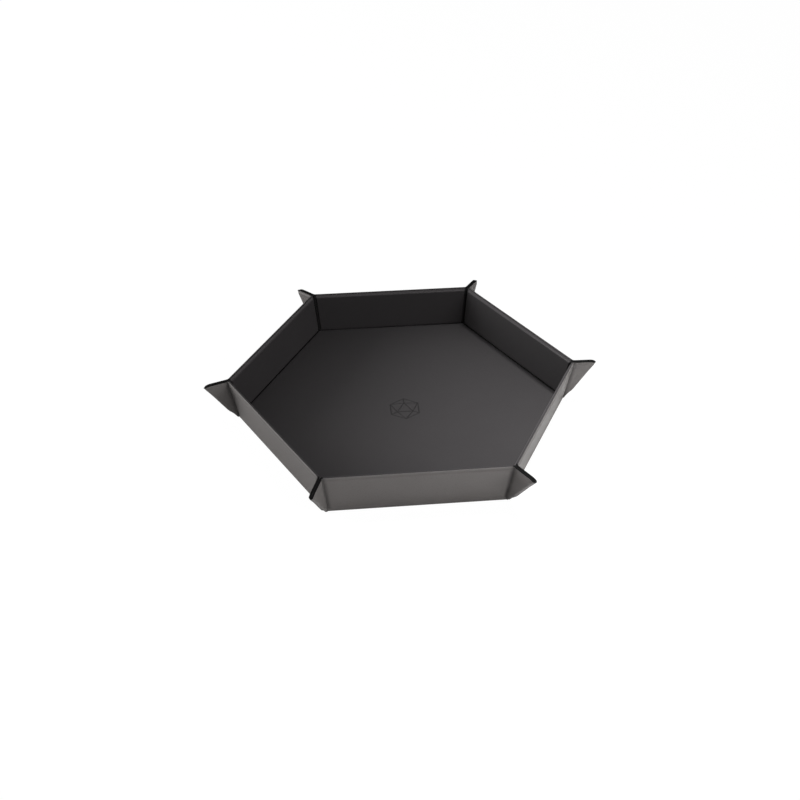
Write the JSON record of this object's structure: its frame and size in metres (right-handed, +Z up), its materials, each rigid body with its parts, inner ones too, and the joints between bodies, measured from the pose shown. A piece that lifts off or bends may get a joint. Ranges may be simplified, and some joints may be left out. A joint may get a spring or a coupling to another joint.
{
  "type": "folding dice tray",
  "caption": "Hexagonal fold-flat tray with flared stiff walls that stand up when magnets pinch the corner gussets into outward ears.",
  "frame": {"origin": "centre of the floor's underside, on the table", "axes": "+Z up; the walls face outward along -Y (wall_1), then every 60 degrees counter-clockwise seen from above (wall_2 to wall_6); the floor's corners lie on +X, -X and every 60 degrees between"},
  "size_m": [0.274, 0.2398, 0.0326],
  "materials": {
    "cover": "fine-grained warm grey synthetic leather, satin",
    "lining": "near-black microfibre with a very short nap, matt",
    "board": "grey pressed fibreboard, matt",
    "magnet": "nickel-plated disc magnet"
  },
  "bodies": {
    "floor": {"floor_cover": "cover", "floor_board": "board", "floor_lining": "lining"},
    "wall_1": {"wall_1_cover": "cover", "wall_1_board": "board", "wall_1_lining": "lining"},
    "wall_1_left_gusset": {"wall_1_left_gusset_skin": "cover", "wall_1_left_gusset_board": "board", "wall_1_left_gusset_magnet": "magnet"},
    "wall_1_right_gusset": {"wall_1_right_gusset_skin": "cover", "wall_1_right_gusset_board": "board", "wall_1_right_gusset_magnet": "magnet"},
    "wall_2": {"wall_2_cover": "cover", "wall_2_board": "board", "wall_2_lining": "lining"},
    "wall_2_left_gusset": {"wall_2_left_gusset_skin": "cover", "wall_2_left_gusset_board": "board", "wall_2_left_gusset_magnet": "magnet"},
    "wall_2_right_gusset": {"wall_2_right_gusset_skin": "cover", "wall_2_right_gusset_board": "board", "wall_2_right_gusset_magnet": "magnet"},
    "wall_3": {"wall_3_cover": "cover", "wall_3_board": "board", "wall_3_lining": "lining"},
    "wall_3_left_gusset": {"wall_3_left_gusset_skin": "cover", "wall_3_left_gusset_board": "board", "wall_3_left_gusset_magnet": "magnet"},
    "wall_3_right_gusset": {"wall_3_right_gusset_skin": "cover", "wall_3_right_gusset_board": "board", "wall_3_right_gusset_magnet": "magnet"},
    "wall_4": {"wall_4_cover": "cover", "wall_4_board": "board", "wall_4_lining": "lining"},
    "wall_4_left_gusset": {"wall_4_left_gusset_skin": "cover", "wall_4_left_gusset_board": "board", "wall_4_left_gusset_magnet": "magnet"},
    "wall_4_right_gusset": {"wall_4_right_gusset_skin": "cover", "wall_4_right_gusset_board": "board", "wall_4_right_gusset_magnet": "magnet"},
    "wall_5": {"wall_5_cover": "cover", "wall_5_board": "board", "wall_5_lining": "lining"},
    "wall_5_left_gusset": {"wall_5_left_gusset_skin": "cover", "wall_5_left_gusset_board": "board", "wall_5_left_gusset_magnet": "magnet"},
    "wall_5_right_gusset": {"wall_5_right_gusset_skin": "cover", "wall_5_right_gusset_board": "board", "wall_5_right_gusset_magnet": "magnet"},
    "wall_6": {"wall_6_cover": "cover", "wall_6_board": "board", "wall_6_lining": "lining"},
    "wall_6_left_gusset": {"wall_6_left_gusset_skin": "cover", "wall_6_left_gusset_board": "board", "wall_6_left_gusset_magnet": "magnet"},
    "wall_6_right_gusset": {"wall_6_right_gusset_skin": "cover", "wall_6_right_gusset_board": "board", "wall_6_right_gusset_magnet": "magnet"}
  },
  "joints": [
    {"name": "wall_1_fold", "type": "hinge", "parent": "floor", "child": "wall_1", "pos_m": [0, -0.1015, 0.0005], "axis": [1, 0, 0], "range_deg": [0, 81.6]},
    {"name": "wall_1_left_gusset_fold", "type": "hinge", "parent": "wall_1", "child": "wall_1_left_gusset", "pos_m": [0.05687, -0.1015, 0.0005], "axis": [0.084, -0.1456, 0.9858], "range_deg": [0, 53.4]},
    {"name": "wall_1_right_gusset_fold", "type": "hinge", "parent": "wall_1", "child": "wall_1_right_gusset", "pos_m": [-0.05687, -0.1015, 0.0005], "axis": [0.084, 0.1456, -0.9858], "range_deg": [0, 68.4]},
    {"name": "wall_2_fold", "type": "hinge", "parent": "floor", "child": "wall_2", "pos_m": [0.0879, -0.05075, 0.0005], "axis": [0.5, 0.866, 0], "range_deg": [0, 81.6]},
    {"name": "wall_2_left_gusset_fold", "type": "hinge", "parent": "wall_2", "child": "wall_2_left_gusset", "pos_m": [0.11634, -0.0015, 0.0005], "axis": [0.1681, 0, 0.9858], "range_deg": [0, 55.4]},
    {"name": "wall_2_right_gusset_fold", "type": "hinge", "parent": "wall_2", "child": "wall_2_right_gusset", "pos_m": [0.05947, -0.1, 0.0005], "axis": [-0.084, 0.1456, -0.9858], "range_deg": [0, 67.4]},
    {"name": "wall_3_fold", "type": "hinge", "parent": "floor", "child": "wall_3", "pos_m": [0.0879, 0.05075, 0.0005], "axis": [-0.5, 0.866, 0], "range_deg": [0, 81.6]},
    {"name": "wall_3_left_gusset_fold", "type": "hinge", "parent": "wall_3", "child": "wall_3_left_gusset", "pos_m": [0.05947, 0.1, 0.0005], "axis": [0.084, 0.1456, 0.9858], "range_deg": [0, 63.4]},
    {"name": "wall_3_right_gusset_fold", "type": "hinge", "parent": "wall_3", "child": "wall_3_right_gusset", "pos_m": [0.11634, 0.0015, 0.0005], "axis": [-0.1681, 0, -0.9858], "range_deg": [0, 65.4]},
    {"name": "wall_4_fold", "type": "hinge", "parent": "floor", "child": "wall_4", "pos_m": [0, 0.1015, 0.0005], "axis": [-1, 0, 0], "range_deg": [0, 81.6]},
    {"name": "wall_4_left_gusset_fold", "type": "hinge", "parent": "wall_4", "child": "wall_4_left_gusset", "pos_m": [-0.05687, 0.1015, 0.0005], "axis": [-0.084, 0.1456, 0.9858], "range_deg": [0, 48.4]},
    {"name": "wall_4_right_gusset_fold", "type": "hinge", "parent": "wall_4", "child": "wall_4_right_gusset", "pos_m": [0.05687, 0.1015, 0.0005], "axis": [-0.084, -0.1456, -0.9858], "range_deg": [0, 57.4]},
    {"name": "wall_5_fold", "type": "hinge", "parent": "floor", "child": "wall_5", "pos_m": [-0.0879, 0.05075, 0.0005], "axis": [-0.5, -0.866, 0], "range_deg": [0, 81.6]},
    {"name": "wall_5_left_gusset_fold", "type": "hinge", "parent": "wall_5", "child": "wall_5_left_gusset", "pos_m": [-0.11634, 0.0015, 0.0005], "axis": [-0.1681, 0, 0.9858], "range_deg": [0, 47.4]},
    {"name": "wall_5_right_gusset_fold", "type": "hinge", "parent": "wall_5", "child": "wall_5_right_gusset", "pos_m": [-0.05947, 0.1, 0.0005], "axis": [0.084, -0.1456, -0.9858], "range_deg": [0, 72.4]},
    {"name": "wall_6_fold", "type": "hinge", "parent": "floor", "child": "wall_6", "pos_m": [-0.0879, -0.05075, 0.0005], "axis": [0.5, -0.866, 0], "range_deg": [0, 81.6]},
    {"name": "wall_6_left_gusset_fold", "type": "hinge", "parent": "wall_6", "child": "wall_6_left_gusset", "pos_m": [-0.05947, -0.1, 0.0005], "axis": [-0.084, -0.1456, 0.9858], "range_deg": [0, 52.4]},
    {"name": "wall_6_right_gusset_fold", "type": "hinge", "parent": "wall_6", "child": "wall_6_right_gusset", "pos_m": [-0.11634, -0.0015, 0.0005], "axis": [0.1681, 0, -0.9858], "range_deg": [0, 73.4]}
  ],
  "couplings": [
    {"joint": "wall_1_left_gusset_fold", "follows": "wall_1_fold", "ratio": 0.6539},
    {"joint": "wall_1_right_gusset_fold", "follows": "wall_1_fold", "ratio": 0.8377},
    {"joint": "wall_2_fold", "follows": "wall_1_fold", "ratio": 1},
    {"joint": "wall_2_left_gusset_fold", "follows": "wall_1_fold", "ratio": 0.6784},
    {"joint": "wall_2_right_gusset_fold", "follows": "wall_1_fold", "ratio": 0.8254},
    {"joint": "wall_3_fold", "follows": "wall_1_fold", "ratio": 1},
    {"joint": "wall_3_left_gusset_fold", "follows": "wall_1_fold", "ratio": 0.7764},
    {"joint": "wall_3_right_gusset_fold", "follows": "wall_1_fold", "ratio": 0.8009},
    {"joint": "wall_4_fold", "follows": "wall_1_fold", "ratio": 1},
    {"joint": "wall_4_left_gusset_fold", "follows": "wall_1_fold", "ratio": 0.5926},
    {"joint": "wall_4_right_gusset_fold", "follows": "wall_1_fold", "ratio": 0.7029},
    {"joint": "wall_5_fold", "follows": "wall_1_fold", "ratio": 1},
    {"joint": "wall_5_left_gusset_fold", "follows": "wall_1_fold", "ratio": 0.5803},
    {"joint": "wall_5_right_gusset_fold", "follows": "wall_1_fold", "ratio": 0.8867},
    {"joint": "wall_6_fold", "follows": "wall_1_fold", "ratio": 1},
    {"joint": "wall_6_left_gusset_fold", "follows": "wall_1_fold", "ratio": 0.6416},
    {"joint": "wall_6_right_gusset_fold", "follows": "wall_1_fold", "ratio": 0.8989}
  ]
}
